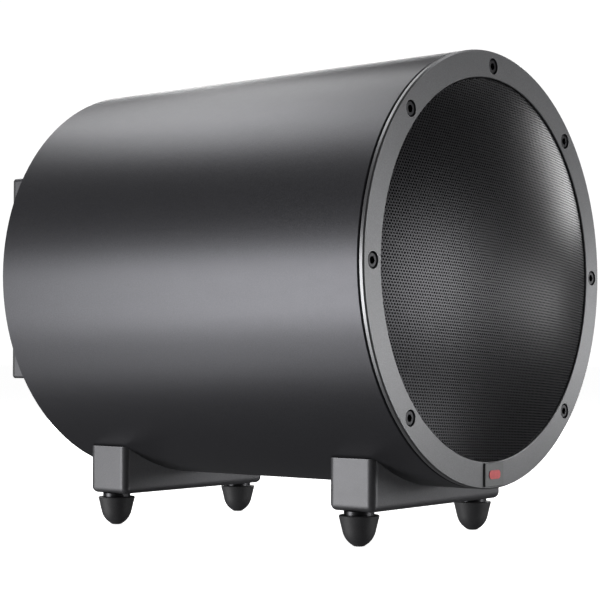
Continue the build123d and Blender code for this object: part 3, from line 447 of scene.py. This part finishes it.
def perforated_sheet(depth):
    """One face of the sheet as hexagonal cells round octagonal holes."""
    points, faces, corner_at = [], [], {}

    def corner(u, v):
        # Corners stand half a pitch and a third of a row apart, so half of each tells them apart.
        key = (round(u / (HOLE_PITCH / 4)), round(v / (ROW_PITCH / 6)))
        if key not in corner_at:
            corner_at[key] = len(points)
            points.append(on_dome(*turned_row(u, v), depth))
        return corner_at[key]

    for u, v in hole_centres(LAST_CELL_R):
        outer = [corner(u + CELL_R * math.cos(a), v + CELL_R * math.sin(a)) for a in HEXAGON]
        if math.hypot(u, v) > LAST_HOLE_R:
            faces.append(tuple(outer))
            continue
        base = len(points)
        points += hole_rim(u, v, depth)
        first = 0
        for k in range(6):
            last = round((k + 1) * HOLE_SIDES / 6)
            inner = [base + m % HOLE_SIDES for m in range(last, first - 1, -1)]
            faces.append((outer[k], outer[(k + 1) % 6], *inner))
            first = last
    if depth:
        faces = [tuple(reversed(face)) for face in faces]
    return points, faces


def hole_walls():
    """The inner walls of every hole, through the sheet."""
    points, faces = [], []
    for u, v in hole_centres(LAST_HOLE_R):
        base = len(points)
        points += hole_rim(u, v, 0.0) + hole_rim(u, v, SHEET)
        for k in range(HOLE_SIDES):
            n = (k + 1) % HOLE_SIDES
            faces.append((base + k, base + n, base + HOLE_SIDES + n, base + HOLE_SIDES + k))
    return points, faces


def skirt():
    """The sheet's turned edge, from the dome back along the ring's bore into the flange."""
    edge_y = on_dome(SKIRT_R, 0.0)[1]
    points, faces = [], []
    for y in (edge_y, skirt_end_y):
        for k in range(SKIRT_SIDES):
            a = 2 * math.pi * k / SKIRT_SIDES
            points.append((axis_x + SKIRT_R * math.cos(a), y, axis_z + SKIRT_R * math.sin(a)))
    for k in range(SKIRT_SIDES):
        n = (k + 1) % SKIRT_SIDES
        faces.append((k, SKIRT_SIDES + k, SKIRT_SIDES + n, n))
    return points, faces


# The back of the sheet and the hole walls take the darker copy of the paint, as painted shade.
for name, shape, paint in (
    ("grille_sheet", perforated_sheet(0.0), FINISHES["grille_paint"]),
    ("grille_sheet_back", perforated_sheet(SHEET), GRILLE_PAINTED_SHADE),
    ("grille_hole_walls", hole_walls(), GRILLE_PAINTED_SHADE),
    ("grille_skirt", skirt(), FINISHES["grille_paint"]),
):
    piece = add_mesh(name, *shape, paint, BODY_OF["grille"], "grille_paint", True)
    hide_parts("grille")


# The surround, the spider and the tinsel leads are each copied into new pieces. A ring is cut into sectors
# along radii from the cone's axis. The surround's foot lies on the cone out to 97.2 mm and its outer edge on
# the basket from 112 mm; the spider spans from its collar to the basket's ledge. The spans below give where
# each leaves the cone and joins the frame, but the pieces are not made to bend.
SECTORS = 24
SURROUND_BEND = (98.0 * MM, 112.0 * MM)
SPIDER_BEND = (30.0 * MM, 66.0 * MM)
LEADS_BEND = (54.0 * MM, 92.0 * MM)


def flexing_piece(name, shape, node, start, end):
    """start and end: places from the cone's axis, where the piece leaves the cone and joins the frame; not
    used.
    """
    mesh = bpy.data.meshes.new(name)
    shape.to_mesh(mesh)
    shape.free()
    mesh.materials.clear()
    mesh.materials.append(FINISHES[SLOT_OF[node]])
    for face in mesh.polygons:
        face.use_smooth = True
        face.material_index = 0
    piece = bpy.data.objects.new(name, mesh)
    bpy.context.scene.collection.objects.link(piece)
    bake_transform(piece)
    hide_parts(node)


def copied_shape(node):
    shape = bmesh.new()
    shape.from_mesh(NODES[node].data)
    shape.transform(NODES[node].matrix_world)
    return shape


def flexing_ring(node, inner_r, outer_r):
    half = math.pi / SECTORS
    for k in range(SECTORS):
        shape = copied_shape(node)
        for angle, side in ((2 * half * k, "clear_inner"), (2 * half * (k + 1), "clear_outer")):
            bmesh.ops.bisect_plane(
                shape,
                geom=shape.verts[:] + shape.edges[:] + shape.faces[:],
                plane_co=(axis_x, 0.0, axis_z),
                plane_no=(-math.sin(angle), 0.0, math.cos(angle)),
                **{side: True},
            )
        middle_angle = 2 * half * (k + 0.5)
        ray = Vector((math.cos(middle_angle), 0.0, math.sin(middle_angle)))
        flexing_piece(f"{node}_sector_{k + 1}", shape, node, ray * inner_r, ray * outer_r * math.cos(half))


flexing_ring("surround", *SURROUND_BEND)
flexing_ring("spider", *SPIDER_BEND)
down = Vector((0.0, 0.0, -1.0))
flexing_piece("flexing_leads", copied_shape("tinsel_leads"), "tinsel_leads", *(down * r for r in LEADS_BEND))


# Dial scales on the rear panel and pointers on its knobs, as thin raised ink.
INK_THICKNESS = 0.05 * MM
POINTER_DEPTH = 0.58 * MM
SCALE_R = 11.6


def ink(name, strokes, y, body="cabinet"):
    """strokes: (u, v, length, width, angle from up) in millimetres, u to the viewer's right from behind."""
    points, faces = [], []
    for u, v, length, width, angle in strokes:
        along = Vector((math.sin(angle), math.cos(angle)))
        across = Vector((along.y, -along.x))
        base = len(points)
        for back_off in (0.0, INK_THICKNESS):
            for a, b in ((-1, -1), (1, -1), (1, 1), (-1, 1)):
                p = Vector((u, v)) + across * (a * width / 2) + along * (b * length / 2)
                points.append((axis_x - p.x * MM, y + back_off, axis_z + p.y * MM))
        near = [base + k for k in range(4)]
        far = [base + 4 + k for k in range(4)]
        faces += [tuple(near), (far[0], far[3], far[2], far[1])]
        faces += [(near[k], far[k], far[(k + 1) % 4], near[(k + 1) % 4]) for k in range(4)]
    return add_mesh(name, points, faces, WHITE_INK, body, "panel_coat")


def middle(node):
    lo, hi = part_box(node)
    return (axis_x - (lo.x + hi.x) / 2) / MM, ((lo.z + hi.z) / 2 - axis_z) / MM


panel_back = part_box("control_panel")[1].y
marks = []
for node in ("level_knob", "crossover_knob"):
    u, v = middle(node)
    for step in range(11):
        angle = math.radians(-150 + 30 * step)
        length = 2.4 if step in (0, 5, 10) else 1.5
        reach = SCALE_R + length / 2
        marks.append((u + reach * math.sin(angle), v + reach * math.cos(angle), length, 0.35, angle))
ink("dial_scales", marks, panel_back)

# Each pointer's ink lies just off the floor of the groove in its knob.
for node in ("level_knob", "crossover_knob"):
    u, v = middle(node)
    ink(node + "_pointer", [(u, v + 5.0, 5.6, 0.9, 0.0)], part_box(node)[1].y - POINTER_DEPTH, BODY_OF[node])


# ---------------------------------------------------------------- stage
FLOOR_R = 30.0
FLOOR_SIDES = 96
LIGHT_DISTANCE = 2.2


def glowing_white(name, rough, glow):
    """A floor that shows as plain white, with hardly any shading of its own."""
    white = (0.9, 0.9, 0.9)
    s = Shading(name)
    s.set("Base Color", s.mix(s.span(s.noise(2.0, 2.0), 0.3, 0.7), shade(white, 0.995), white))
    s.set("Roughness", rough)
    s.set("Specular IOR Level", 0.0)
    s.set("Emission Color", (1.0, 1.0, 1.0))
    s.set("Emission Strength", glow)
    return s.material


floor_angles = [2 * math.pi * k / FLOOR_SIDES for k in range(FLOOR_SIDES)]
floor_mesh = bpy.data.meshes.new("floor")
floor_mesh.from_pydata(
    [(FLOOR_R * math.cos(a), FLOOR_R * math.sin(a), 0.0) for a in floor_angles],
    [],
    [tuple(range(FLOOR_SIDES))],
)
floor_mesh.materials.append(glowing_white("floor_white", 0.9, 0.93))
floor = bpy.data.objects.new("floor", floor_mesh)
bpy.context.scene.collection.objects.link(floor)
floor.visible_diffuse = False
floor.visible_glossy = False
floor.visible_shadow = False

world = bpy.data.worlds.new("studio")
world.use_nodes = True
bpy.context.scene.world = world
tree = world.node_tree
tree.nodes.clear()
path = tree.nodes.new("ShaderNodeLightPath")
pale = tree.nodes.new("ShaderNodeBackground")
pale.inputs["Color"].default_value = (1.0, 1.0, 1.0, 1.0)
pale.inputs["Strength"].default_value = 1.05
dim = tree.nodes.new("ShaderNodeBackground")
dim.inputs["Color"].default_value = (1.0, 1.0, 1.03, 1.0)
dim.inputs["Strength"].default_value = 0.06
pick = tree.nodes.new("ShaderNodeMixShader")
world_output = tree.nodes.new("ShaderNodeOutputWorld")
tree.links.new(path.outputs["Is Camera Ray"], pick.inputs[0])
tree.links.new(dim.outputs[0], pick.inputs[1])
tree.links.new(pale.outputs[0], pick.inputs[2])
tree.links.new(pick.outputs[0], world_output.inputs["Surface"])


def softbox(name, place, target, width, height, power):
    data = bpy.data.lights.new(name, "AREA")
    data.shape = "RECTANGLE"
    data.size = width
    data.size_y = height
    data.energy = power
    light = bpy.data.objects.new(name, data)
    light.location = place
    light.rotation_mode = "QUATERNION"
    light.rotation_quaternion = (Vector(target) - Vector(place)).to_track_quat("-Z", "Y")
    bpy.context.scene.collection.objects.link(light)
    light.visible_camera = False


# Each light: its direction from the middle of the object, then its width, height and power.
centre = Vector((0.0, 0.0, 0.2))
LIGHTS = {
    "over_right": ((0.27, 0.58, 0.73), 1.0, 0.9, 7.4),
    "over_left": ((-0.10, 0.58, 0.78), 0.9, 0.6, 8.2),
    "left_level": ((-0.80, 0.48, 0.0), 1.0, 0.55, 16.8),
    "left_low": ((-0.76, 0.48, -0.27), 1.0, 0.55, 17.2),
    "left_floor": ((-0.56, 0.52, -0.54), 1.0, 0.6, 5.2),
    "front": ((0.465, -0.88, 0.0), 0.8, 0.6, 12.0),
    "front_low": ((0.465, -0.80, -0.40), 0.8, 0.6, 4.5),
    "right_front": ((0.85, -0.52, -0.01), 1.1, 0.26, 2.9),
    "right": ((0.97, -0.10, 0.24), 0.7, 0.5, 6.4),
    "right_high": ((0.72, -0.30, 0.62), 0.8, 0.6, 2.2),
    "rear": ((0.42, 0.95, 0.20), 1.3, 0.9, 26.0),
    "rear_right": ((0.85, 0.55, 0.30), 1.2, 0.8, 16.0),
    "high": ((0.50, -0.35, 0.80), 0.9, 0.7, 5.0),
}
for name, (direction, width, height, power) in LIGHTS.items():
    softbox(name, centre + Vector(direction).normalized() * LIGHT_DISTANCE, centre, width, height, power)

scene_view = bpy.context.scene.view_settings
scene_view.view_transform = "Standard"
scene_view.look = "None"
